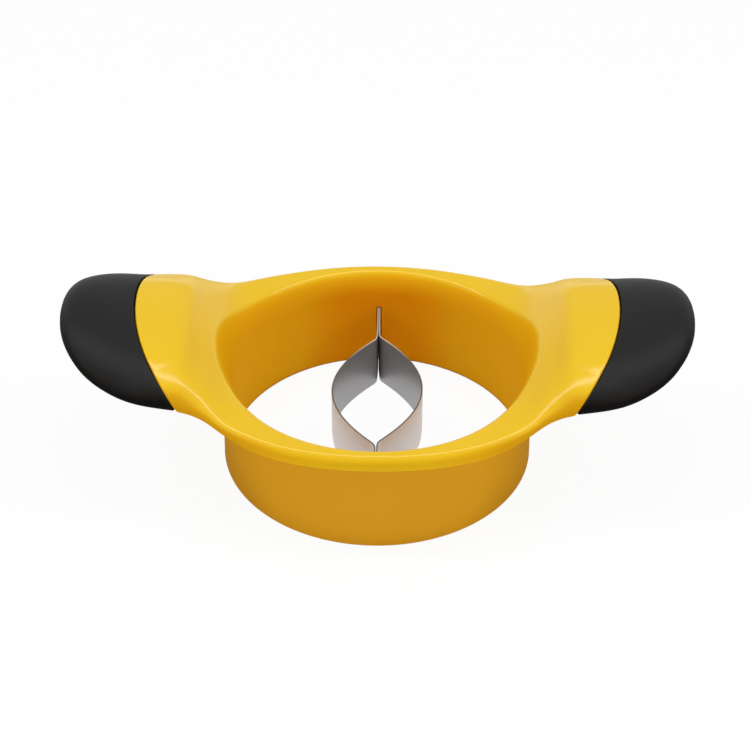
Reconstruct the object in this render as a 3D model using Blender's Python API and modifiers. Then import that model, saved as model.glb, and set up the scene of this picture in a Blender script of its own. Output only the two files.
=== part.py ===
# Mango slicer: a ring with two winged handles and two bowed blades that part the flesh from the stone.
# Metres, +Z up. The ring stands on z = 0 about the origin, and the handles reach out along X.

import math

import bmesh
import bpy
from mathutils import Vector
from mathutils.geometry import interpolate_bezier

# Outer ring below the rim, and the lip at its foot
collar_outer_radius = 0.0597
collar_wall = 0.0015
collar_height = 0.0372
collar_draft = 0.0003
collar_edge_radius = 0.0007
collar_lip_height = 0.0016
ring_segments = 88

# Rim that caps the ring, and the sleeve that hangs from it inside the ring
part_gap = 0.0003
rim_overhang = 0.0024
rim_inset = 0.0027
rim_edge_height = 0.0032
rim_bulge = 0.0034
rim_rounding = 0.0031
rim_under_rounding = 0.0012
flare_drop = 0.0039
rim_flare = 0.0042
sleeve_wall = 0.0012
sleeve_thickening = 0.0014

# Winged handles
handle_reach = 0.1198
handle_half_depth = 0.0399
handle_rise = 0.0230
handle_bulge = 0.0086
handle_under = 0.0056
handle_rounding = 0.0300
handle_crown = 0.0046
handle_flare = 0.0052

# Soft grips over the handle ends
grip_wall = 0.0024
grip_step = 0.0009
seam_arc_radius = 0.1430
seam_arc_shift = 0.0136
grip_length = 0.0341
seam_lean_share = 0.46

# Blades
blade_top = 0.0279
blade_bottom = 0.0059
blade_thickness = 0.0006
blade_bow = 0.0170
blade_bow_length = 0.0318
blade_bend_softness = 0.0011
grind_height = 0.0035
edge_share = 0.2

# Cutters run past the solids that they cut
overrun = 0.010

# Plan outline of rim and handle in one quarter. The first share of a place runs from the middle to the
# ring's outer edge, or from there to the tip; the second from the handle's half depth to the rim's.
neck_share = (1.012, 0.210)
neck_direction_share = (0.86, -0.51)
shoulder_share = (0.305, 0.0)
front_pull_share = 0.235
neck_pull_share = 0.150
neck_ease_share = 0.055
shoulder_ease_share = 0.055
shoulder_pull_share = 0.225
tip_pull_share = 0.65
least_squareness_share = 0.5

# Rise and fullness at stations that run from -1 in the middle, through 0 at the ring's outer edge, to 1
# at the handle's tip
station_shares = (-1.0, -0.488, -0.287, -0.082, 0.099, 0.236, 0.533, 0.690, 0.847, 1.0)
rise_shares = (0.0, 0.0, 0.025, 0.098, 0.27, 0.36, 0.465, 0.58, 0.745, 1.0)
fullness_shares = (0.0, 0.0, 0.0, 0.13, 0.60, 1.0, 1.0, 1.0, 0.96, 0.86)

outline_steps = (9, 5, 11)
round_steps = 5
span_steps = 5
under_steps = 3
wall_steps = 3
arc_steps = 24
blade_steps = 32
crease_degrees = 35
weld_distance = 0.00002


def clear_scene():
    for item in list(bpy.data.objects):
        bpy.data.objects.remove(item, do_unlink=True)


def new_collection(name):
    group = bpy.data.collections.new(name)
    bpy.context.scene.collection.children.link(group)
    return group


def plastic(name, colour, roughness, metallic=0.0):
    material = bpy.data.materials.new(name)
    material.use_nodes = True
    shader = material.node_tree.nodes["Principled BSDF"]
    shader.inputs["Base Color"].default_value = (*colour, 1.0)
    shader.inputs["Roughness"].default_value = roughness
    shader.inputs["Metallic"].default_value = metallic
    return material


def add_object(name, mesh, group, material=None):
    item = bpy.data.objects.new(name, mesh)
    group.objects.link(item)
    if material:
        mesh.materials.append(material)
    return item


def hide_cutter(item):
    item.hide_render = True
    item.display_type = "WIRE"
    return item


def boolean(item, other, operation):
    modifier = item.modifiers.new(other.name, "BOOLEAN")
    modifier.object = other
    modifier.operation = operation
    modifier.solver = "EXACT"


def smooth_shading(mesh):
    mesh.shade_smooth()
    mesh.set_sharp_from_angle(angle=math.radians(crease_degrees))


def through(place, places, values):
    """Smooth curve through a few hand-placed values."""
    last = len(places) - 1
    place = min(max(place, places[0]), places[last])
    index = 0
    while index < last - 1 and place > places[index + 1]:
        index += 1

    def slope(at):
        low = max(at - 1, 0)
        high = min(at + 1, last)
        return (values[high] - values[low]) / (places[high] - places[low])

    span = places[index + 1] - places[index]
    t = (place - places[index]) / span
    start, end = values[index], values[index + 1]
    return ((2 * t ** 3 - 3 * t ** 2 + 1) * start + (t ** 3 - 2 * t ** 2 + t) * span * slope(index)
            + (3 * t ** 2 - 2 * t ** 3) * end + (t ** 3 - t ** 2) * span * slope(index + 1))


# Heights and thicknesses of the frame, as functions of the distance x from the middle

seat_height = collar_height + part_gap
sleeve_foot = collar_lip_height + part_gap
sleeve_outer_radius = collar_outer_radius - collar_wall - part_gap
sleeve_inner_radius = sleeve_outer_radius - sleeve_wall
rim_half_depth = collar_outer_radius + rim_overhang
handle_length = handle_reach - collar_outer_radius
seam_reach = handle_reach - grip_length


def station(x):
    if x < collar_outer_radius:
        return x / collar_outer_radius - 1
    return (x - collar_outer_radius) / handle_length


def edge_height(x):
    share = through(station(x), station_shares, rise_shares)
    return seat_height + rim_edge_height + share * handle_rise


def fullness(x):
    return max(through(station(x), station_shares, fullness_shares), 0.0)


def mixed(x, rim_value, handle_value):
    return rim_value + (handle_value - rim_value) * fullness(x)


def top_height(x, y, inset):
    crown = handle_crown * fullness(x) * max(1 - (y / handle_half_depth) ** 2, 0.0)
    return edge_height(x) + mixed(x, rim_bulge, handle_bulge) + crown - inset


def under_height(x, inset):
    return max(edge_height(x) - mixed(x, rim_edge_height, handle_under), seat_height) + inset


def frame_outline(inset):
    """Plan outline of one quarter, from the handle tip round to the middle of the rim."""
    reach = handle_reach
    depth = handle_half_depth
    extra = rim_half_depth - handle_half_depth
    tip = Vector((reach - inset, 0.0, 0.0))
    shoulder = Vector((collar_outer_radius + shoulder_share[0] * handle_length,
                       depth + shoulder_share[1] * extra - inset, 0.0))
    neck = Vector((neck_share[0] * collar_outer_radius, depth + neck_share[1] * extra - inset, 0.0))
    middle = Vector((0.0, rim_half_depth - inset, 0.0))
    neck_direction = Vector((*neck_direction_share, 0.0)).normalized()
    tip_handle = tip + Vector((0.0, tip_pull_share * depth, 0.0))
    shoulder_out = shoulder + Vector((shoulder_pull_share * reach, 0.0, 0.0))
    shoulder_in = shoulder - Vector((shoulder_ease_share * reach, 0.0, 0.0))
    neck_out = neck + neck_direction * neck_ease_share * reach
    neck_in = neck - neck_direction * neck_pull_share * reach
    middle_handle = middle + Vector((front_pull_share * reach, 0.0, 0.0))
    wing = interpolate_bezier(tip, tip_handle, shoulder_out, shoulder, outline_steps[2] + 1)
    waist = interpolate_bezier(shoulder, shoulder_in, neck_out, neck, outline_steps[1] + 1)
    rim = interpolate_bezier(neck, neck_in, middle_handle, middle, outline_steps[0] + 1)
    return wing[:-1] + waist[:-1] + rim


def quarter_arc(steps):
    return [math.radians(90) * step / steps for step in range(steps + 1)]


def frame_section(corner, tangent, inset, step_up):
    """Closed section of the frame along one ray from the middle of the ring to its outer edge."""
    direction = corner.normalized()
    outer = corner.length
    side = abs(direction.x)
    squareness = abs(direction.x * tangent.y - direction.y * tangent.x)
    inner = sleeve_inner_radius - rim_inset * (1 - side ** 2) + inset
    foot = sleeve_inner_radius - sleeve_thickening * (1 - side ** 2) + inset
    flare = rim_flare + (handle_flare - rim_flare) * side ** 4

    def at(radius, height):
        return (direction.x * radius, direction.y * radius, height)

    def top(radius):
        return top_height(direction.x * radius, direction.y * radius, inset)

    low = seat_height - flare_drop
    points = []
    for step in range(wall_steps):
        share = step / wall_steps
        points.append(at(foot + (inner - foot) * share, sleeve_foot + (low - sleeve_foot) * share))
    for angle in quarter_arc(round_steps):
        radius = inner + flare * (1 - math.cos(angle))
        points.append(at(radius, low + (top(radius) - low) * math.sin(angle)))

    edge = edge_height(corner.x)
    curve = mixed(corner.x, rim_rounding, handle_rounding) / max(squareness, least_squareness_share)
    span_start = inner + flare
    span_end = max(outer - curve, span_start)
    curve = outer - span_end
    for step in range(1, span_steps):
        radius = span_start + (span_end - span_start) * step / span_steps
        points.append(at(radius, top(radius)))
    for angle in quarter_arc(round_steps):
        radius = span_end + curve * math.sin(angle)
        points.append(at(radius, edge + (top(radius) - edge) * math.cos(angle)))

    seat_edge = collar_outer_radius
    under_curve = min(curve, outer - seat_edge, mixed(corner.x, rim_under_rounding, handle_rounding))
    under_start = outer - under_curve
    for angle in quarter_arc(under_steps)[1:]:
        radius = under_start + under_curve * math.cos(angle)
        under = under_height(direction.x * radius, inset + step_up)
        points.append(at(radius, edge + (under - edge) * math.sin(angle)))
    for step in range(1, under_steps + 1):
        radius = under_start + (seat_edge - under_start) * step / (under_steps + 1)
        points.append(at(radius, under_height(direction.x * radius, inset + step_up)))
    points.append(at(seat_edge, seat_height + inset))

    points.append(at(sleeve_outer_radius, seat_height + inset))
    points.append(at(sleeve_outer_radius, sleeve_foot))
    return points


def frame_mesh(name, inset=0.0, step_up=0.0):
    """Quarter of the moulding, lofted between unlike sections and open at both planes."""
    outline = frame_outline(inset)
    mesh = bpy.data.meshes.new(name)
    bm = bmesh.new()
    rows = []
    last = len(outline) - 1
    for index, corner in enumerate(outline):
        tangent = (outline[min(index + 1, last)] - outline[max(index - 1, 0)]).normalized()
        if index == 0:
            tangent = Vector((0.0, 1.0, 0.0))
        if index == last:
            tangent = Vector((1.0, 0.0, 0.0))
        section = frame_section(corner, tangent, inset, step_up)
        rows.append([bm.verts.new(point) for point in section])
    for row, following in zip(rows, rows[1:]):
        count = len(row)
        for index in range(count):
            after = (index + 1) % count
            bm.faces.new((row[index], row[after], following[after], following[index]))
    bm.to_mesh(mesh)
    bm.free()
    smooth_shading(mesh)
    return mesh


def mirror_quarter(item):
    modifier = item.modifiers.new("quarters", "MIRROR")
    modifier.use_axis = (True, True, False)
    modifier.use_mirror_merge = True
    modifier.merge_threshold = weld_distance


def prism(name, outline, low, high, group, shift=0.0):
    """Block over a flat outline, upright or leaning along X."""
    mesh = bpy.data.meshes.new(name)
    bm = bmesh.new()
    floor = bm.faces.new([bm.verts.new((x, y, low)) for x, y in outline])
    grown = bmesh.ops.extrude_face_region(bm, geom=[floor])
    upper = [element for element in grown["geom"] if isinstance(element, bmesh.types.BMVert)]
    bmesh.ops.translate(bm, verts=upper, vec=(shift, 0.0, high - low))
    bmesh.ops.recalc_face_normals(bm, faces=bm.faces)
    bm.to_mesh(mesh)
    bm.free()
    return hide_cutter(add_object(name, mesh, group))


def seam_block(name, side, gap, group):
    """Everything beyond one handle's arched seam, whose arc is centred behind the handle's middle."""
    low = seat_height
    high = seat_height + handle_rise + handle_bulge + handle_crown + overrun
    set_back = seam_lean_share * (edge_height(seam_reach) - low)
    centre = seam_reach - seam_arc_radius - set_back
    radius = seam_arc_radius + gap
    half_depth = handle_half_depth + overrun
    nearest = math.asin(-(half_depth + seam_arc_shift) / radius)
    farthest = math.asin((half_depth - seam_arc_shift) / radius)
    outline = []
    for step in range(arc_steps + 1):
        angle = nearest + (farthest - nearest) * step / arc_steps
        across = seam_arc_shift + radius * math.sin(angle)
        outline.append((side * (centre + radius * math.cos(angle)), across))
    outline.append((side * (handle_reach + overrun), half_depth))
    outline.append((side * (handle_reach + overrun), -half_depth))
    return prism(name, outline, low, high, group, side * seam_lean_share * (high - low))


def tang_shape(name, mesh, allowance, group):
    """Inner body of the handles, grown by an allowance all over."""
    body = hide_cutter(add_object(name, mesh, group))
    mirror_quarter(body)
    facets = body.modifiers.new("facets", "TRIANGULATE")
    facets.quad_method = "FIXED"
    grow = body.modifiers.new("allowance", "DISPLACE")
    grow.mid_level = 0.0
    grow.strength = allowance
    return body


def build_frame(parts, cutters, material):
    """Upper moulding: rim, handles, tangs and sleeve in one piece."""
    frame = add_object("frame", frame_mesh("frame"), parts, material)
    mirror_quarter(frame)
    core = tang_shape("tang_core", frame_mesh("tang_core", grip_wall), 0.0, cutters)
    for label, side in (("left", -1), ("right", 1)):
        relief = seam_block("relief_" + label, side, 0.0, cutters)
        boolean(relief, core, "DIFFERENCE")
        boolean(frame, relief, "DIFFERENCE")
    cut_blade_windows(frame, cutters)
    return frame


def build_grips(parts, cutters, material):
    """Soft covers, flush with the handles above and a step thinner below, with pockets for the tangs."""
    pocket = tang_shape("grip_pocket", frame_mesh("grip_pocket", grip_wall), part_gap, cutters)
    for label, side in (("left", -1), ("right", 1)):
        cover = frame_mesh("grip_" + label, 0.0, grip_step)
        grip = add_object("grip_" + label, cover, parts, material)
        mirror_quarter(grip)
        block = seam_block("grip_block_" + label, side, part_gap, cutters)
        boolean(grip, block, "INTERSECT")
        boolean(grip, pocket, "DIFFERENCE")


def turned(name, profile, group, material=None):
    """Ring turned from a closed section of (radius, height) points."""
    mesh = bpy.data.meshes.new(name)
    bm = bmesh.new()
    verts = [bm.verts.new((radius, 0.0, height)) for radius, height in profile]
    for index, vert in enumerate(verts):
        bm.edges.new((vert, verts[(index + 1) % len(verts)]))
    bm.to_mesh(mesh)
    bm.free()
    item = add_object(name, mesh, group, material)
    screw = item.modifiers.new("turn", "SCREW")
    screw.steps = ring_segments
    screw.render_steps = ring_segments
    screw.use_merge_vertices = True
    screw.merge_threshold = weld_distance
    return item


def build_collar(parts, cutters, material):
    """Outer ring whose lip turns in below the sleeve."""
    outer = collar_outer_radius
    bore = outer - collar_wall
    lip = sleeve_inner_radius
    soft = collar_edge_radius
    profile = [(outer - collar_draft, collar_height), (outer, soft)]
    for angle in quarter_arc(under_steps)[1:]:
        profile.append((outer - soft + soft * math.cos(angle), soft - soft * math.sin(angle)))
    for angle in quarter_arc(under_steps):
        profile.append((lip + soft - soft * math.sin(angle), soft - soft * math.cos(angle)))
    profile += [(lip, collar_lip_height), (bore, collar_lip_height), (bore, collar_height)]
    return turned("collar", profile, parts, material)


def cut_blade_windows(frame, cutters):
    """Windows through the sleeve, front and back, that the paired blade ends spring into."""
    half_width = blade_thickness + part_gap / 2 + part_gap
    reach = sleeve_outer_radius + collar_wall / 2
    windows = prism("blade_windows", [(-half_width, -reach), (half_width, -reach), (half_width, reach),
                    (-half_width, reach)], blade_bottom - part_gap, blade_top + part_gap, cutters)
    boolean(frame, windows, "DIFFERENCE")


def blade_offset(y):
    """Distance of the blade's middle from the centre plane: a bow that eases into straight ends."""
    bow = blade_bow * (1 - (y / blade_bow_length) ** 2)
    eased = (bow + math.sqrt(bow ** 2 + blade_bend_softness ** 2)) / 2
    return (blade_thickness + part_gap) / 2 + eased


def build_blade(name, side, parts, material):
    """Bowed strip on edge, ground to its cutting edge at the bottom."""
    reach = sleeve_outer_radius
    heights = (blade_top, blade_bottom + grind_height, blade_bottom)
    mesh = bpy.data.meshes.new(name)
    bm = bmesh.new()
    rows = []
    for step in range(blade_steps + 1):
        y = reach * math.sin(math.radians(90) * (2 * step / blade_steps - 1))
        rows.append([bm.verts.new((side * blade_offset(y), y, height)) for height in heights])
    for row, following in zip(rows, rows[1:]):
        for index in range(len(heights) - 1):
            bm.faces.new((row[index], row[index + 1], following[index + 1], following[index]))
    bmesh.ops.recalc_face_normals(bm, faces=bm.faces)
    bm.to_mesh(mesh)
    bm.free()
    blade = add_object(name, mesh, parts, material)
    full = blade.vertex_groups.new(name="full_thickness")
    for vert in mesh.vertices:
        edge = vert.co.z < blade_bottom + grind_height / 2
        full.add([vert.index], edge_share if edge else 1.0, "REPLACE")
    solid = blade.modifiers.new("sheet", "SOLIDIFY")
    solid.thickness = blade_thickness
    solid.offset = 0.0
    solid.vertex_group = full.name
    return blade


def build():
    clear_scene()
    parts = new_collection("mango_slicer")
    cutters = new_collection("cutters")
    yellow = plastic("yellow_frame", (0.83, 0.50, 0.02), 0.25)
    amber = plastic("yellow_collar", (0.80, 0.45, 0.02), 0.25)
    steel_left = plastic("steel_left", (0.62, 0.60, 0.58), 0.28, 1.0)
    steel_right = plastic("steel_right", (0.62, 0.60, 0.58), 0.28, 1.0)
    rubber = plastic("black_rubber", (0.02, 0.02, 0.02), 0.6)
    build_frame(parts, cutters, yellow)
    build_collar(parts, cutters, amber)
    build_blade("blade_left", -1, parts, steel_left)
    build_blade("blade_right", 1, parts, steel_right)
    build_grips(parts, cutters, rubber)


build()
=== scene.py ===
# Mango slicer, dressed for the studio: a yellow moulded ring with winged handles, two bowed steel blades,
# an outer ring that closes the sleeve from below, and soft black grips. Metres, +Z up.

import math

import bmesh
import bpy
import numpy as np
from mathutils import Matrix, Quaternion, Vector


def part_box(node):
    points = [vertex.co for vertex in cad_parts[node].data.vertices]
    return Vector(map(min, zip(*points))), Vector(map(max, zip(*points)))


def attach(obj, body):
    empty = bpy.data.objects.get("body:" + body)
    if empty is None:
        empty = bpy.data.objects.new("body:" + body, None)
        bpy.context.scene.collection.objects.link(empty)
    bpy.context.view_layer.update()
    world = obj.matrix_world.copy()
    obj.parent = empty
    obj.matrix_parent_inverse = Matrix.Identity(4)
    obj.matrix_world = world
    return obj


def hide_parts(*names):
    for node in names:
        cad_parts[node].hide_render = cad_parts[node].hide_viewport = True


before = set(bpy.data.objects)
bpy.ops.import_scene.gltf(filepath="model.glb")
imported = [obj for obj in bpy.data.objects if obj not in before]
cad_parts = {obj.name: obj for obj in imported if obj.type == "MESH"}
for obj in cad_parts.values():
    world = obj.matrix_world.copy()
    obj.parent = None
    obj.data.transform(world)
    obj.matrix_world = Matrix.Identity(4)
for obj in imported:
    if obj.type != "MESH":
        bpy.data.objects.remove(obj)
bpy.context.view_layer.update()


# The upper moulding is one shot of glossy yellow plastic: the rolled rim, both winged handles with the
# tangs that carry the grips, and the sleeve that hangs inside the ring. Its inner wall runs into the rim
# in one sweep, and the sleeve has a window front and back for the blade ends.

RIGHT_ANGLE = math.radians(90.0)
CLEARANCE = 0.0003
RING_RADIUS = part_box("collar")[1].x
SEAT_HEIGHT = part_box("collar")[1].z + CLEARANCE
RIM_HALF_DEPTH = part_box("frame")[1].y
RIM_EDGE_HEIGHT = 0.0032
RIM_BULGE = 0.0034
RIM_ROUNDING = 0.0031
RIM_UNDER_ROUNDING = 0.0012
RIM_INSET = 0.0027
RIM_FLARE = 0.0042
HANDLE_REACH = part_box("grip_right")[1].x
HANDLE_LENGTH = HANDLE_REACH - RING_RADIUS
HANDLE_HALF_DEPTH = 0.0399
HANDLE_RISE = 0.0230
HANDLE_BULGE = 0.0086
HANDLE_UNDER = 0.0056
HANDLE_ROUNDING = 0.0300
HANDLE_CROWN = 0.0046
HANDLE_FLARE = 0.0052
FLARE_DROP = 0.0039
FLARE_FOCUS = 4
COLLAR_WALL = 0.0015
COLLAR_LIP_HEIGHT = 0.0016
SLEEVE_OUTER = RING_RADIUS - COLLAR_WALL - CLEARANCE
SLEEVE_WALL = 0.0012
SLEEVE_INNER = SLEEVE_OUTER - SLEEVE_WALL
SLEEVE_THICKENING = 0.0014
SLEEVE_FOOT = COLLAR_LIP_HEIGHT + CLEARANCE

# Stations run from the middle of the ring (-1) over its side (0) to the tip of a handle (1)
STATIONS = (-1.0, -0.488, -0.287, -0.082, 0.099, 0.236, 0.533, 0.690, 0.847, 1.0)
RISE_SHARES = (0.0, 0.0, 0.025, 0.098, 0.27, 0.36, 0.465, 0.58, 0.745, 1.0)
FULLNESS_SHARES = (0.0, 0.0, 0.0, 0.13, 0.60, 1.0, 1.0, 1.0, 0.96, 0.86)


def through(places, values, at):
    """Smooth curve through a few values, its slopes taken from their neighbours."""
    places, values = np.array(places), np.array(values)
    slopes = np.gradient(values)
    slopes[1:-1] = (values[2:] - values[:-2]) / (places[2:] - places[:-2])
    slopes[0] /= places[1] - places[0]
    slopes[-1] /= places[-1] - places[-2]
    at = np.clip(at, places[0], places[-1])
    index = np.clip(np.searchsorted(places, at, side="right") - 1, 0, len(places) - 2)
    span = places[index + 1] - places[index]
    t = (at - places[index]) / span
    return ((2 * t ** 3 - 3 * t ** 2 + 1) * values[index] + (t ** 3 - 2 * t ** 2 + t) * span * slopes[index]
            + (3 * t ** 2 - 2 * t ** 3) * values[index + 1] + (t ** 3 - t ** 2) * span * slopes[index + 1])


def station(x):
    return np.where(x < RING_RADIUS, x / RING_RADIUS - 1, (x - RING_RADIUS) / HANDLE_LENGTH)


def fullness(x):
    """0 on the plain rim, 1 on the full handle."""
    return np.maximum(through(STATIONS, FULLNESS_SHARES, station(x)), 0.0)


def mixed(x, rim_value, handle_value):
    return rim_value + (handle_value - rim_value) * fullness(x)


def edge_height(x):
    """Height of the widest line of rim and handle."""
    return SEAT_HEIGHT + RIM_EDGE_HEIGHT + through(STATIONS, RISE_SHARES, station(x)) * HANDLE_RISE


def top_height(x, y, inset):
    crown = HANDLE_CROWN * fullness(x) * np.maximum(1 - (y / HANDLE_HALF_DEPTH) ** 2, 0.0)
    return edge_height(x) + mixed(x, RIM_BULGE, HANDLE_BULGE) + crown - inset


def under_height(x, inset):
    return np.maximum(edge_height(x) - mixed(x, RIM_EDGE_HEIGHT, HANDLE_UNDER), SEAT_HEIGHT) + inset


# The outline from above: its shoulder as a share of the handle's length, its neck as shares of the ring's
# radius and of the step from handle to rim, and its pulls as shares of the handle's depth and reach
SHOULDER_SHARE = 0.305
NECK_SHARE = 1.012
NECK_STEP_SHARE = 0.210
NECK_SLOPE = (0.86, -0.51)
TIP_PULL = 0.65
SHOULDER_PULL = 0.225
NECK_EASE = 0.055
NECK_PULL = 0.150
MIDDLE_PULL = 0.235
OUTLINE_POINTS = 400


def bend(start, start_pull, end_pull, end):
    """Bezier curve as an array of points."""
    t = np.linspace(0.0, 1.0, OUTLINE_POINTS)[:, None]
    return ((1 - t) ** 3 * start + 3 * (1 - t) ** 2 * t * start_pull
            + 3 * (1 - t) * t ** 2 * end_pull + t ** 3 * end)


def plan_outline(inset):
    """Outline of one quarter from above: ray angles, distances, and how squarely rays meet it."""
    neck_depth = HANDLE_HALF_DEPTH + NECK_STEP_SHARE * (RIM_HALF_DEPTH - HANDLE_HALF_DEPTH)
    tip = np.array((HANDLE_REACH - inset, 0.0))
    shoulder = np.array((RING_RADIUS + SHOULDER_SHARE * HANDLE_LENGTH, HANDLE_HALF_DEPTH - inset))
    neck = np.array((NECK_SHARE * RING_RADIUS, neck_depth - inset))
    middle = np.array((0.0, RIM_HALF_DEPTH - inset))
    along_x = np.array((HANDLE_REACH, 0.0))
    down_neck = np.array(NECK_SLOPE) / math.hypot(*NECK_SLOPE) * HANDLE_REACH
    points = np.concatenate((
        bend(tip, tip + (0.0, TIP_PULL * HANDLE_HALF_DEPTH), shoulder + SHOULDER_PULL * along_x, shoulder),
        bend(shoulder, shoulder - NECK_EASE * along_x, neck + NECK_EASE * down_neck, neck)[1:],
        bend(neck, neck - NECK_PULL * down_neck, middle + MIDDLE_PULL * along_x, middle)[1:]))
    along = np.gradient(points, axis=0)
    along /= np.linalg.norm(along, axis=1)[:, None]
    distance = np.linalg.norm(points, axis=1)
    squareness = abs(points[:, 0] * along[:, 1] - points[:, 1] * along[:, 0]) / distance
    return np.arctan2(points[:, 1], points[:, 0]), distance, squareness


# Steps of a section, and those at which its flare and top start and its underside meets the seat
WALL_STEPS, FLARE_STEPS, SPAN_STEPS, ROUND_STEPS, UNDER_STEPS = 10, 40, 80, 50, 60
FLARE_START = WALL_STEPS
TOP_START = FLARE_START + FLARE_STEPS
SEAT_CORNER = TOP_START + SPAN_STEPS + 2 * ROUND_STEPS + UNDER_STEPS
SQUARENESS_FLOOR = 0.5


def sections(angles, inset=0.0, step_up=0.0):
    """Sections of the moulding along rays from the middle: from the sleeve's foot up the inner wall, over
    the top, round the outer edge and back underneath to the seat. An array of rays, steps and X, Y, Z."""
    around, distance, squareness = plan_outline(inset)
    angles = np.atleast_1d(angles)
    outer = np.interp(angles, around, distance)[:, None]
    squareness = np.maximum(np.interp(angles, around, squareness), SQUARENESS_FLOOR)[:, None]
    cosine, sine = np.cos(angles)[:, None], np.sin(angles)[:, None]
    inner = SLEEVE_INNER - RIM_INSET * sine ** 2 + inset
    foot = SLEEVE_INNER - SLEEVE_THICKENING * sine ** 2 + inset
    flare = RIM_FLARE + (HANDLE_FLARE - RIM_FLARE) * cosine ** FLARE_FOCUS
    low = SEAT_HEIGHT - FLARE_DROP
    beside = cosine * outer
    edge = edge_height(beside)
    curve = mixed(beside, RIM_ROUNDING, HANDLE_ROUNDING) / squareness
    span_start = inner + flare
    span_end = np.maximum(outer - curve, span_start)
    curve = outer - span_end
    under_curve = np.minimum(np.minimum(curve, outer - RING_RADIUS),
                             mixed(beside, RIM_UNDER_ROUNDING, HANDLE_ROUNDING))
    under_start = outer - under_curve

    def top(radius):
        return top_height(cosine * radius, sine * radius, inset)

    def under(radius):
        return under_height(cosine * radius, inset + step_up)

    share = np.linspace(0.0, 1.0, WALL_STEPS + 1)[:-1]
    runs = [(foot + (inner - foot) * share, SLEEVE_FOOT + (low - SLEEVE_FOOT) * share)]
    turn = np.linspace(0.0, RIGHT_ANGLE, FLARE_STEPS + 1)[:-1]
    radius = inner + flare * (1 - np.cos(turn))
    runs.append((radius, low + (top(radius) - low) * np.sin(turn)))
    share = np.linspace(0.0, 1.0, SPAN_STEPS + 1)[:-1]
    radius = span_start + (span_end - span_start) * share
    runs.append((radius, top(radius)))
    turn = np.linspace(0.0, RIGHT_ANGLE, ROUND_STEPS + 1)[:-1]
    radius = span_end + curve * np.sin(turn)
    runs.append((radius, edge + (top(radius) - edge) * np.cos(turn)))
    radius = under_start + under_curve * np.cos(turn)
    runs.append((radius, edge + (under(radius) - edge) * np.sin(turn)))
    share = np.linspace(0.0, 1.0, UNDER_STEPS + 1)
    radius = under_start + (RING_RADIUS - under_start) * share
    runs.append((radius, under(radius)))
    radius, height = np.concatenate([np.broadcast_arrays(*run) for run in runs], axis=2)
    return np.stack((cosine * radius, sine * radius, height), axis=2)


# The seam between handle and grip is an arch seen from above, centred behind the handle's middle, and it
# leans outwards as it rises
SEAM_RADIUS = 0.1430
SEAM_SHIFT = 0.0136
SEAM_LEAN = 0.46
GRIP_LENGTH = 0.0341
GRIP_WALL = 0.0024
SEAM_REACH = HANDLE_REACH - GRIP_LENGTH
SEAM_CENTRE = SEAM_REACH - SEAM_RADIUS - SEAM_LEAN * (edge_height(SEAM_REACH) - SEAT_HEIGHT)
GAP_DEPTH = 0.0014


def beyond_seam(points, half):
    """How far points lie past the seam, on the back half (1) or the front half (-1) of a handle."""
    x, y, z = np.moveaxis(points, -1, 0)
    across = np.minimum(abs(y - half * SEAM_SHIFT), HANDLE_REACH)
    return x - SEAM_CENTRE - np.sqrt(SEAM_RADIUS ** 2 - across ** 2) - SEAM_LEAN * (z - SEAT_HEIGHT)


def seam_slope(points, half):
    across = points[..., 1] - half * SEAM_SHIFT
    return np.stack((np.ones_like(across), across / np.sqrt(SEAM_RADIUS ** 2 - across ** 2),
                     np.full_like(across, -SEAM_LEAN)), -1)


def unit(vectors):
    return vectors / np.linalg.norm(vectors, axis=-1)[..., None]


def at_step(line, step):
    """Point on a line of points at a fractional step."""
    steps = np.arange(len(line))
    return np.stack([np.interp(step, steps, line[:, axis]) for axis in range(3)], axis=-1)


def evenly(line, start, end, count):
    """Evenly spaced points on a line of points, between two fractional steps."""
    steps = np.arange(len(line))
    places = np.concatenate(([start], steps[(steps > start) & (steps < end)], [end]))
    picked = at_step(line, places)
    length = np.concatenate(([0.0], np.cumsum(np.linalg.norm(np.diff(picked, axis=0), axis=1))))
    wanted = np.linspace(0.0, length[-1], count)
    return np.stack([np.interp(wanted, length, picked[:, axis]) for axis in range(3)], axis=-1)


WING_RAYS = 44
LIP_STEPS = 6
HALVINGS = 40
NUDGE = math.radians(0.05)


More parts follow.
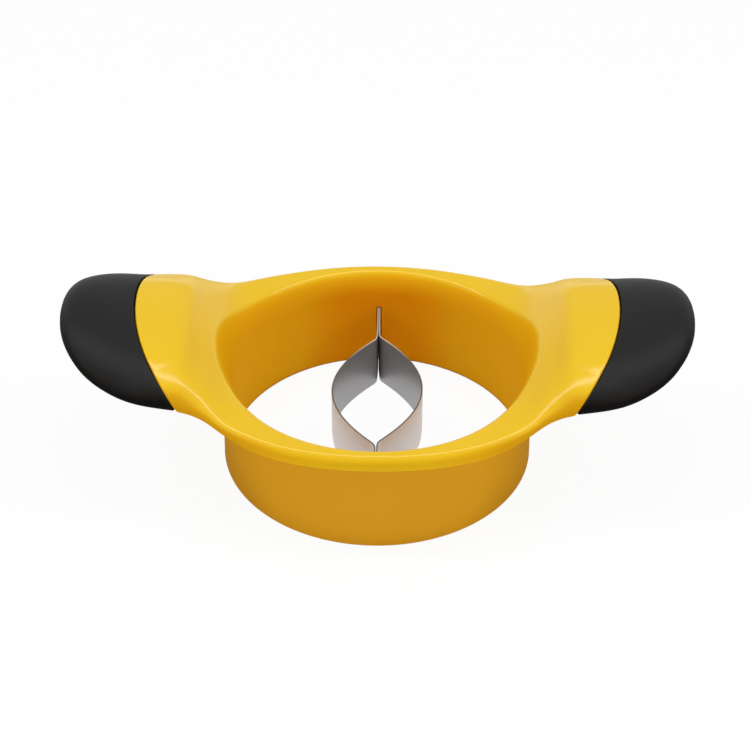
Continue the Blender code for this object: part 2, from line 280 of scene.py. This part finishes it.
class Crossing:
    """Rays of one quarter that pass a level of the seam, and the steps where each goes out and back."""

    def __init__(self, level, half, *inset):
        self.half = half
        # Closes in on the last ray that reaches past the level
        near, far = 0.0, RIGHT_ANGLE
        for _ in range(HALVINGS):
            middle = (near + far) / 2
            if beyond_seam(sections(middle, *inset), half).max() > level:
                near = middle
            else:
                far = middle
        self.angles = near * (1 - (1 - np.linspace(0.0, 1.0, WING_RAYS + 1)) ** 2)
        self.lines = sections(self.angles, *inset)
        across = sections(self.angles + NUDGE, *inset) - sections(self.angles - NUDGE, *inset)
        self.normals = unit(np.cross(np.gradient(self.lines, axis=1), across))
        # On that last ray the way out and the way back meet at one step
        self.fold = float(beyond_seam(self.lines[-1], half).argmax())
        self.out, self.back = [], []
        for past in beyond_seam(self.lines[:-1], half) - level:
            first, last = np.flatnonzero(past >= 0)[[0, -1]]
            self.out.append(first - past[first] / (past[first] - past[first - 1]))
            self.back.append(last + past[last] / (past[last] - past[last + 1]))
        self.out.append(self.fold)
        self.back.append(self.fold)

    def skin(self, count):
        """Surface past the seam, from where each ray goes out to where it comes back."""
        return np.stack([evenly(*row, count) for row in zip(self.lines, self.out, self.back)])

    def lips(self, radius, towards_grip):
        """Rounded edges and short walls down into the gap, where the rays go out and where they come back,
        leading towards the grip (1) or away from it (-1)."""
        turn = np.linspace(0.0, RIGHT_ANGLE, LIP_STEPS)[None, :, None]
        both = []
        for steps in (self.out, self.back):
            points = np.stack([at_step(*row) for row in zip(self.lines, steps)])
            normals = unit(np.stack([at_step(*row) for row in zip(self.normals, steps)]))
            slope = seam_slope(points, self.half) * towards_grip
            forward = unit(slope - (slope * normals).sum(axis=1)[:, None] * normals)
            rounding = (points[:, None] + forward[:, None] * radius * np.sin(turn)
                        - normals[:, None] * radius * (1 - np.cos(turn)))
            foot = points + forward * radius - normals * GAP_DEPTH
            both.append(np.concatenate((rounding, foot[:, None]), axis=1))
        return both


WELD = 0.000001
CREASE = math.radians(38.0)


def solid(name, grids, caps=()):
    """Object from grids of points and end caps, welded where they meet, creased at sharp edges."""
    shape = bmesh.new()
    for grid in grids:
        rows = [[shape.verts.new(point) for point in row] for row in grid]
        for row, following in zip(rows, rows[1:]):
            for index in range(len(row) - 1):
                shape.faces.new((row[index], row[index + 1], following[index + 1], following[index]))
    for cap in caps:
        shape.faces.new([shape.verts.new(point) for point in cap])
    bmesh.ops.remove_doubles(shape, verts=shape.verts, dist=WELD)
    bmesh.ops.recalc_face_normals(shape, faces=shape.faces)
    mesh = bpy.data.meshes.new(name)
    shape.to_mesh(mesh)
    shape.free()
    item = bpy.data.objects.new(name, mesh)
    bpy.context.scene.collection.objects.link(item)
    soften(item)
    return item


def soften(item):
    """Smooth shading, with sharp edges kept."""
    item.data.shade_smooth()
    item.data.set_sharp_from_angle(angle=CREASE)


def dress(item, node, finish):
    """The piece takes its finish and stands for its node of the frame."""
    item.data.materials.clear()
    item.data.materials.append(finish)
    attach(item, "root")
    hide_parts(node)


EDGE_LIP = 0.0007
OPEN_RAYS = 76
WALL_POINTS = 7
FLARE_POINTS = 16
TOP_POINTS = 42
UNDER_POINTS = 34
TANG_POINTS = 24


def moulding_quarter(half):
    """Grids of the back (1) or front (-1) quarter of the moulding on the right."""
    cut = Crossing(-EDGE_LIP, half)
    open_angles = np.linspace(cut.angles[-1], RIGHT_ANGLE, OPEN_RAYS + 1)[1:]
    open_steps = [cut.fold] * OPEN_RAYS
    upper, lower = [], []
    for line, out, back in zip(np.concatenate((cut.lines, sections(open_angles))),
                               cut.out + open_steps, cut.back + open_steps):
        ray = line[0] / math.hypot(line[0][0], line[0][1])
        outer_foot = np.array((ray[0] * SLEEVE_OUTER, ray[1] * SLEEVE_OUTER, SLEEVE_FOOT))
        outer_head = np.array((*outer_foot[:2], SEAT_HEIGHT))
        upper.append(np.concatenate((evenly(line, 0, FLARE_START, WALL_POINTS)[:-1],
                                     evenly(line, FLARE_START, TOP_START, FLARE_POINTS)[:-1],
                                     evenly(line, TOP_START, out, TOP_POINTS))))
        lower.append(np.concatenate((evenly(line, back, SEAT_CORNER, UNDER_POINTS),
                                     [outer_head, outer_foot, line[0]])))
    lips = cut.lips(EDGE_LIP, 1.0)
    tang = Crossing(0.0, half, GRIP_WALL).skin(TANG_POINTS)
    tang = np.concatenate((lips[0][:, -1:], tang, lips[1][:, -1:]), axis=1)
    return [grid * (1.0, half, 1.0) for grid in (np.stack(upper), np.stack(lower), *lips, tang)]


half_moulding = moulding_quarter(1.0) + moulding_quarter(-1.0)
moulding = solid("moulding", half_moulding + [grid * (-1.0, 1.0, 1.0) for grid in half_moulding])

# To either side a window leaves room for half the gap between the strips, one strip, and a clearance
BLADE_TOP = 0.0279
BLADE_BOTTOM = 0.0059
BLADE_THICKNESS = 0.0006
window_half_width = CLEARANCE / 2 + BLADE_THICKNESS + CLEARANCE
window_bottom = BLADE_BOTTOM - CLEARANCE
window_top = BLADE_TOP + CLEARANCE
bpy.ops.mesh.primitive_cube_add(size=2.0, location=(0.0, 0.0, (window_bottom + window_top) / 2))
window = bpy.context.object
window.scale = (window_half_width, RING_RADIUS, (window_top - window_bottom) / 2)
opening = moulding.modifiers.new("windows", "BOOLEAN")
opening.object = window
opening.operation = "DIFFERENCE"
opening.solver = "EXACT"
cut_mesh = bpy.data.meshes.new_from_object(moulding.evaluated_get(bpy.context.evaluated_depsgraph_get()))
moulding.modifiers.clear()
moulding.data = cut_mesh
bpy.data.objects.remove(window)
soften(moulding)


class Wire:
    """An output socket in a node tree. Arithmetic between wires and numbers adds Math nodes."""

    def __init__(self, socket):
        self.socket = socket

    def math(self, operation, first, second):
        node = self.socket.id_data.nodes.new("ShaderNodeMath")
        node.operation = operation
        for entry, value in zip(node.inputs, (first, second)):
            join(entry, value)
        return Wire(node.outputs[0])

    def __add__(self, other):
        return self.math("ADD", self, other)

    def __mul__(self, other):
        return self.math("MULTIPLY", self, other)

    def __sub__(self, other):
        return self.math("SUBTRACT", self, other)

    def __rsub__(self, other):
        return self.math("SUBTRACT", other, self)

    __radd__ = __add__
    __rmul__ = __mul__


def join(entry, value):
    """Links a wire to a socket, or sets the socket to a plain value."""
    if isinstance(value, Wire):
        entry.id_data.links.new(value.socket, entry)
    else:
        entry.default_value = value


class Nodes:
    """The node tree of a material or of the world."""

    def __init__(self, owner):
        owner.use_nodes = True
        self.tree = owner.node_tree

    def node(self, kind, settings, inputs, output=0):
        """Adds a node with its settings, then the values or links of its sockets, and gives one output."""
        node = self.tree.nodes.new(kind)
        for name, value in settings.items():
            setattr(node, name, value)
        for name, value in inputs.items():
            join(node.inputs[name], value)
        return Wire(node.outputs[output])


class Finish(Nodes):
    """A material under construction, with its Principled shader."""

    def __init__(self, name):
        self.material = bpy.data.materials.new(name)
        super().__init__(self.material)
        self.shader = self.tree.nodes["Principled BSDF"]

    def set(self, **values):
        for name, value in values.items():
            title = name.replace("_", " ").title().replace("Ior", "IOR")
            join(self.shader.inputs[title], value)

    def place(self):
        """Position on the piece in metres."""
        return self.node("ShaderNodeTexCoord", {}, {}, "Object")

    def normal(self):
        return self.node("ShaderNodeNewGeometry", {}, {}, "Normal")

    def along(self, vector, axis):
        """How far a vector reaches along X, Y or Z."""
        return self.node("ShaderNodeSeparateXYZ", {}, {"Vector": vector}, axis)

    def vector(self, operation, *vectors, output="Vector"):
        return self.node("ShaderNodeVectorMath", {"operation": operation}, dict(enumerate(vectors)), output)

    def noise(self, scale, detail=2.0, vector=None):
        return self.node("ShaderNodeTexNoise", {},
                         {"Vector": vector or self.place(), "Scale": scale, "Detail": detail})

    def blend(self, factor, first, second):
        return self.node("ShaderNodeMix", {"data_type": "RGBA"}, {0: factor, 6: first, 7: second}, 2)

    def ramp(self, value, start, end):
        """0 at one value and 1 at the other, eased at both ends."""
        return self.node("ShaderNodeMapRange", {"interpolation_type": "SMOOTHSTEP"},
                         {"Value": value, "From Min": start, "From Max": end})

    def bump(self, height, distance):
        return self.node("ShaderNodeBump", {}, {"Height": height, "Distance": distance})


SWIRL_SHARE = 0.7
FLECK_SHARE = 0.1
PLASTIC_ROUGHNESS = 0.36
PLASTIC_UNEVENNESS = 0.10
SKIN_ROUGHNESS = 0.20
PEEL_DEPTH = 0.00002
DULL_SKIN = 0.03


def moulded_plastic(finish, colour, shade, gloss=DULL_SKIN, painted_shade_share=0.0, painted_shade=None):
    """Moulding with faint swirls in the colour, and a glossy skin with faint orange peel."""
    cloud = finish.noise(scale=34.0, detail=3.0)
    fleck = finish.noise(scale=900.0)
    peel = finish.noise(scale=420.0, detail=1.0)
    unevenness = finish.noise(scale=60.0, detail=4.0)
    tint = finish.blend(cloud * SWIRL_SHARE + fleck * FLECK_SHARE, colour, shade)
    # Painted shade, where one is given, is mixed over the swirls
    if painted_shade:
        tint = finish.blend(painted_shade_share, tint, painted_shade)
    finish.set(base_color=tint, roughness=PLASTIC_ROUGHNESS + unevenness * PLASTIC_UNEVENNESS,
               normal=finish.bump(peel, distance=PEEL_DEPTH), specular_ior_level=0.0,
               coat_weight=gloss, coat_roughness=SKIN_ROUGHNESS)
    return finish.material


# Painted shade: the yellow is painted a deeper orange, and loses its gloss, where the flare and the inner
# wall face the middle of the ring, most of all low down in front and behind. Where the surface turns away
# from the top it is painted darker as shade, strongly on the steep flanks of the handles and less so on the
# side of the rim. Each zone is given by the value where it starts and the value where it is full.
YELLOW = (0.80, 0.53, 0.014, 1.0)
YELLOW_SHADE = (0.76, 0.485, 0.011, 1.0)
WALL_PAINTED_SHADE = (0.81, 0.32, 0.0025, 1.0)
FLANK_PAINTED_SHADE = (0.60, 0.27, 0.003, 1.0)
INSIDE_ZONE = (SLEEVE_INNER + 1.6 * HANDLE_FLARE, SLEEVE_INNER + 1.1 * HANDLE_FLARE)
FACING_ZONE = (-0.70, -0.93)
BESIDE_ZONE = (0.02, 0.35)
LOW_ZONE = (SEAT_HEIGHT + RIM_BULGE + 0.001, SEAT_HEIGHT - FLARE_DROP)
UPRIGHT_ZONE = (0.50, 0.90)
FLANK_ZONE = (RIM_HALF_DEPTH, RIM_HALF_DEPTH + 0.012)
GLOSS_ZONE = (0.45, 0.85)
WALL_SHARE = 0.5
LOW_SHARE = 0.5
RIM_SHARE = 0.10
FLANK_SHARE = 0.58
TOP_GLOSS = 0.44

yellow = Finish("yellow_plastic")
flat = yellow.vector("MULTIPLY", yellow.place(), (1.0, 1.0, 0.0))
outwards = yellow.vector("NORMALIZE", flat)
from_middle = yellow.vector("LENGTH", flat, output="Value")
turned_out = yellow.vector("DOT_PRODUCT", yellow.normal(), outwards, output="Value")
turned_up = yellow.along(yellow.normal(), "Z")
sideways = yellow.along(outwards, "X")
facing = yellow.ramp(from_middle, *INSIDE_ZONE) * yellow.ramp(turned_out, *FACING_ZONE)
in_front_or_behind = 1.0 - yellow.ramp(sideways * sideways, *BESIDE_ZONE)
low_down = yellow.ramp(yellow.along(yellow.place(), "Z"), *LOW_ZONE)
upright = 1.0 - yellow.ramp(turned_up, *UPRIGHT_ZONE)
flank = yellow.ramp(from_middle, *FLANK_ZONE)
# The painted shade inside the ring and on the flanks is mixed into the yellow's base colour
moulded_plastic(yellow, YELLOW, YELLOW_SHADE,
                gloss=DULL_SKIN + yellow.ramp(turned_up, *GLOSS_ZONE) * (1.0 - facing) * TOP_GLOSS,
                painted_shade_share=(facing * (WALL_SHARE + low_down * in_front_or_behind * LOW_SHARE)
                            + (1.0 - facing) * upright * (RIM_SHARE + flank * FLANK_SHARE)),
                painted_shade=yellow.blend(flank, WALL_PAINTED_SHADE, FLANK_PAINTED_SHADE))
dress(moulding, "frame", yellow.material)


# The blades are spring-tempered stainless strips on edge, rolled along their length, bowed round the stone
# and ground to an edge below. Their straight ends stand back to back in the sleeve's windows, and the
# right one's bow sits a little further back.

BLADE_BOW = 0.0170
BLADE_BOW_LENGTH = 0.0333
BLADE_BEND_SOFTNESS = 0.0011
RIGHT_BOW_SHIFT = 0.0014
BLADE_GAP = 0.00004
BLADE_HALF = BLADE_THICKNESS / 2
BLADE_CORNER = 0.00012
CORNER_POINTS = 4
GRIND_HEIGHT = 0.0035
CUTTING_EDGE_HALF = 0.00005
BLADE_POINTS = 180


def blade_solid(name, side, bow_shift):
    y = SLEEVE_OUTER * np.sin(RIGHT_ANGLE * np.linspace(-1.0, 1.0, BLADE_POINTS))
    bow = BLADE_BOW * (1 - ((y - bow_shift) / BLADE_BOW_LENGTH) ** 2)
    bow = (bow + np.sqrt(bow ** 2 + BLADE_BEND_SOFTNESS ** 2)) / 2
    path = np.stack((side * (BLADE_HALF + BLADE_GAP / 2 + bow), y), axis=1)
    along = np.gradient(path, axis=0)
    across = unit(np.stack((along[:, 1], -along[:, 0]), axis=1))
    flank = [(CUTTING_EDGE_HALF, BLADE_BOTTOM), (BLADE_HALF, BLADE_BOTTOM + GRIND_HEIGHT)]
    for turn in np.linspace(0.0, RIGHT_ANGLE, CORNER_POINTS):
        flank.append((BLADE_HALF - BLADE_CORNER * (1 - math.cos(turn)),
                      BLADE_TOP - BLADE_CORNER * (1 - math.sin(turn))))
    loop = flank + [(-width, height) for width, height in reversed(flank)]
    loop.append(loop[0])
    rows = np.stack([np.concatenate((path + across * width, np.full((len(path), 1), height)), axis=1)
                     for width, height in loop], axis=1)
    return solid(name, [rows], caps=[rows[0][:-1], rows[-1][:-1]])


# Pairs of colours: troughs and crests of the grain, the inner faces' pair painted darker as shade, and for
# the cut edge its front end, painted dark as shade, and its back end, painted pale as a reflection
SHADED_INNER_FACE = ((0.31, 0.305, 0.305, 1.0), (0.39, 0.385, 0.385, 1.0))
OUTER_FACE = ((0.65, 0.67, 0.71, 1.0), (0.74, 0.765, 0.81, 1.0))
CUT_EDGE_SHADE_AND_REFLECTION = ((0.13, 0.105, 0.09, 1.0), (0.50, 0.43, 0.39, 1.0))
CUT_EDGE_ZONE = (BLADE_TOP - 1.5 * BLADE_CORNER, BLADE_TOP - BLADE_CORNER)
EDGE_REFLECTION_ZONE = (BLADE_BOW_LENGTH / 2, BLADE_BOW_LENGTH)
OUTER_ZONE = (-BLADE_HALF, BLADE_HALF)
OUTER_DULLNESS = 0.45
EDGE_DULLNESS = 0.5
STEEL_ROUGHNESS = 0.38
STEEL_UNEVENNESS = 0.12
GRAIN_SCALE = (300.0, 40.0, 5200.0)
GRAIN_DEPTH = 0.00001


def rolled_steel(name):
    """Steel with a fine rolled grain and a dull cut edge on top; the inner faces and the edge's front end are
    painted dark as shade, and the edge's back end is painted pale as a reflection.
    """
    finish = Finish(name)
    grain = finish.noise(scale=1.0, detail=4.0, vector=finish.vector("MULTIPLY", finish.place(), GRAIN_SCALE))
    cut_edge = finish.ramp(finish.along(finish.place(), "Z"), *CUT_EDGE_ZONE)
    # Painted reflection: the cut edge turns pale towards the back ends of the strips
    edge_reflection = finish.ramp(finish.along(finish.place(), "Y"), *EDGE_REFLECTION_ZONE)
    # An outer face is turned to the side that it lies on
    outwards = finish.along(finish.place(), "X") * finish.along(finish.normal(), "X")
    outer_side = finish.ramp(outwards, *OUTER_ZONE)
    # Painted shade: the inner faces take the darker pair of colours
    face = finish.blend(outer_side, finish.blend(grain, *SHADED_INNER_FACE), finish.blend(grain, *OUTER_FACE))
    finish.set(base_color=finish.blend(cut_edge, face, finish.blend(edge_reflection, *CUT_EDGE_SHADE_AND_REFLECTION)),
               metallic=1.0 - cut_edge * EDGE_DULLNESS - outer_side * (1.0 - cut_edge) * OUTER_DULLNESS,
               roughness=STEEL_ROUGHNESS + grain * STEEL_UNEVENNESS,
               normal=finish.bump(grain, distance=GRAIN_DEPTH))
    return finish.material


steel = rolled_steel("blade_steel")
for label, side, bow_shift in (("left", -1.0, 0.0), ("right", 1.0, RIGHT_BOW_SHIFT)):
    dress(blade_solid("strip_" + label, side, bow_shift), "blade_" + label, steel)


# The outer ring is a second moulding, of a duller plastic whose yellow is painted darker and browner than the
# upper moulding's, as shade on its upright wall. It slides over the sleeve from below, and its turned-in lip
# holds the blade ends in their windows.

COLLAR_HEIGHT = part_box("collar")[1].z
COLLAR_DRAFT = 0.0003
COLLAR_EDGE = 0.0007
COLLAR_TOP_EDGE = 0.0003
COLLAR_TURNS = 288
ARC_POINTS = 7
# Painted shade: darker, browner copies of the yellow, for the collar's upright wall
COLLAR_SHADED_YELLOW = (0.71, 0.38, 0.021, 1.0)
COLLAR_SHADED_SWIRL = (0.67, 0.345, 0.016, 1.0)


def rounded(centre, radius, start, end):
    """Points on an arc of a section, as distances from the middle and heights."""
    turn = np.radians(np.linspace(start, end, ARC_POINTS))
    return [(centre[0] + radius * math.cos(a), centre[1] + radius * math.sin(a)) for a in turn]


collar_top = RING_RADIUS - COLLAR_DRAFT
bore = RING_RADIUS - COLLAR_WALL
section = rounded((collar_top - COLLAR_TOP_EDGE, COLLAR_HEIGHT - COLLAR_TOP_EDGE), COLLAR_TOP_EDGE, 90, 0)
section += rounded((RING_RADIUS - COLLAR_EDGE, COLLAR_EDGE), COLLAR_EDGE, 0, -90)
section += rounded((SLEEVE_INNER + COLLAR_EDGE, COLLAR_EDGE), COLLAR_EDGE, -90, -180)
section += [(SLEEVE_INNER, COLLAR_LIP_HEIGHT), (bore, COLLAR_LIP_HEIGHT), (bore, COLLAR_HEIGHT)]
section.append(section[0])
turns = [(radius * math.cos(angle), radius * math.sin(angle), height)
         for angle in np.linspace(0.0, 4 * RIGHT_ANGLE, COLLAR_TURNS + 1) for radius, height in section]
ring = solid("outer_ring", [np.array(turns).reshape(COLLAR_TURNS + 1, len(section), 3)])
dress(ring, "collar", moulded_plastic(Finish("collar_plastic_painted_shade"), COLLAR_SHADED_YELLOW, COLLAR_SHADED_SWIRL))


# The grips are covers of soft black elastomer, moulded over the tangs of the handles. They are flush with
# the handles above and a step thinner below, and meet them at a narrow gap.

GRIP_LIP = 0.0007
GRIP_STEP = 0.0009
GRIP_POINTS = 64
BLACK = (0.0044, 0.0043, 0.0044, 1.0)
WORN_BLACK = (0.0066, 0.0064, 0.0065, 1.0)
RUBBER_ROUGHNESS = 0.50
RUBBER_UNEVENNESS = 0.12
RUBBER_GRAIN_DEPTH = 0.00003
SHEEN_ZONE = (0.30, 0.90)
SHEEN = 0.25
SHEEN_ROUGHNESS = 0.5


def grip_solid(name, side):
    grids = []
    for half in (1.0, -1.0):
        cover = Crossing(CLEARANCE + GRIP_LIP, half, 0.0, GRIP_STEP)
        lips = cover.lips(GRIP_LIP, -1.0)
        pocket = Crossing(CLEARANCE, half, GRIP_WALL - CLEARANCE).skin(TANG_POINTS)
        pocket = np.concatenate((lips[0][:, -1:], pocket, lips[1][:, -1:]), axis=1)
        grids += [grid * (side, half, 1.0) for grid in (cover.skin(GRIP_POINTS), *lips, pocket)]
    return solid(name, grids)


def soft_rubber(name):
    """Matt black with a fine grain, and a faint sheen on what faces up."""
    finish = Finish(name)
    grain = finish.noise(scale=1500.0)
    cloud = finish.noise(scale=30.0, detail=3.0)
    turned_up = finish.along(finish.normal(), "Z")
    finish.set(base_color=finish.blend(cloud, BLACK, WORN_BLACK),
               roughness=RUBBER_ROUGHNESS + cloud * RUBBER_UNEVENNESS,
               normal=finish.bump(grain, distance=RUBBER_GRAIN_DEPTH), specular_ior_level=0.03,
               coat_weight=finish.ramp(turned_up, *SHEEN_ZONE) * SHEEN, coat_roughness=SHEEN_ROUGHNESS)
    return finish.material


rubber = soft_rubber("black_rubber")
for label, side in (("left", -1.0), ("right", 1.0)):
    dress(grip_solid("cover_" + label, side), "grip_" + label, rubber)


# The studio is a white paper floor that keeps only a faint shadow, and a white surround. A strip lamp above
# and a low lamp behind draw the highlights, and warm lamps in front and at both sides light the ring.

FLOOR_HALF = 6.0
PAPER_WHITE = (0.88, 0.88, 0.88, 1.0)
PAPER_ROUGHNESS = 0.9
WHITE_SHARE = 0.94
AMBIENT = 0.16


def seen_by(nodes, *rays):
    """1 for the rays named, 0 for all others."""
    return sum(nodes.node("ShaderNodeLightPath", {}, {}, "Is " + ray + " Ray") for ray in rays)


floor_mesh = bpy.data.meshes.new("floor")
floor_mesh.from_pydata([(-FLOOR_HALF, -FLOOR_HALF, 0.0), (FLOOR_HALF, -FLOOR_HALF, 0.0),
                        (FLOOR_HALF, FLOOR_HALF, 0.0), (-FLOOR_HALF, FLOOR_HALF, 0.0)], [], [(0, 1, 2, 3)])
floor = bpy.data.objects.new("floor", floor_mesh)
bpy.context.scene.collection.objects.link(floor)
paper = Finish("paper_floor")
paper.set(base_color=PAPER_WHITE, roughness=PAPER_ROUGHNESS)
glow = paper.node("ShaderNodeEmission", {}, {})
white_share = seen_by(paper, "Camera", "Glossy", "Transmission") * WHITE_SHARE
surface = paper.node("ShaderNodeMixShader", {}, {0: white_share, 1: Wire(paper.shader.outputs[0]), 2: glow})
join(paper.tree.nodes["Material Output"].inputs["Surface"], surface)
floor.data.materials.append(paper.material)

world = bpy.data.worlds.new("studio")
bpy.context.scene.world = world
surround = Nodes(world)
background = surround.tree.nodes["Background"]
join(background.inputs["Color"], (1.0, 1.0, 1.0, 1.0))
join(background.inputs["Strength"], AMBIENT + seen_by(surround, "Camera", "Glossy") * (1.0 - AMBIENT))


def lamp(name, place, target, width, depth, power, colour=(1.0, 1.0, 1.0)):
    light = bpy.data.lights.new(name, "AREA")
    light.shape = "RECTANGLE"
    light.size = width
    light.size_y = depth
    light.energy = power
    light.color = colour
    item = bpy.data.objects.new(name, light)
    bpy.context.scene.collection.objects.link(item)
    item.location = place
    item.rotation_mode = "QUATERNION"
    item.rotation_quaternion = (Vector(target) - Vector(place)).to_track_quat("-Z", "Y")


lamp("top_strip", place=(0.0, 0.05, 1.2), target=(0.0, 0.0, 0.0), width=3.0, depth=0.16, power=17.0)
lamp("back_lamp", place=(0.0, 1.5, 0.19), target=(0.0, 0.0, 0.03), width=2.6, depth=0.28, power=2.9)
lamp("front_lamp", place=(0.1, -1.3, 0.62), target=(0.0, 0.0, 0.02), width=2.2, depth=0.8, power=4.8,
     colour=(1.0, 0.84, 0.66))
for label, side in (("left", -1.0), ("right", 1.0)):
    lamp("side_lamp_" + label, place=(side * 1.2, -0.5, 0.6), target=(0.0, 0.0, 0.02), width=0.8, depth=0.8,
         power=4.4, colour=(1.0, 0.86, 0.70))


# The camera stands in front and looks down on the slicer, as the photograph does. Its lens is shifted so
# that the target falls on its pixel.

CAMERA_ELEVATION = math.radians(37.95)
CAMERA_AZIMUTH = math.radians(0.70)
CAMERA_ROLL = math.radians(0.13)
CAMERA_DISTANCE = 1.0
CAMERA_LENS = 124.0
CAMERA_TARGET = Vector((0.0, 0.0, 0.025))
TARGET_PIXEL = (377.1, 395.9)
IMAGE_SIZE = 750

back = Vector((math.sin(CAMERA_AZIMUTH) * math.cos(CAMERA_ELEVATION),
               -math.cos(CAMERA_AZIMUTH) * math.cos(CAMERA_ELEVATION), math.sin(CAMERA_ELEVATION)))
camera = bpy.data.objects.new("camera", bpy.data.cameras.new("camera"))
bpy.context.scene.collection.objects.link(camera)
camera.location = CAMERA_TARGET + back * CAMERA_DISTANCE
camera.rotation_mode = "QUATERNION"
camera.rotation_quaternion = (-back).to_track_quat("-Z", "Y") @ Quaternion((0.0, 0.0, 1.0), CAMERA_ROLL)
camera.data.lens = CAMERA_LENS
camera.data.shift_x = (IMAGE_SIZE / 2 - TARGET_PIXEL[0]) / IMAGE_SIZE
camera.data.shift_y = (TARGET_PIXEL[1] - IMAGE_SIZE / 2) / IMAGE_SIZE
bpy.context.scene.camera = camera
bpy.context.scene.view_settings.view_transform = "Standard"
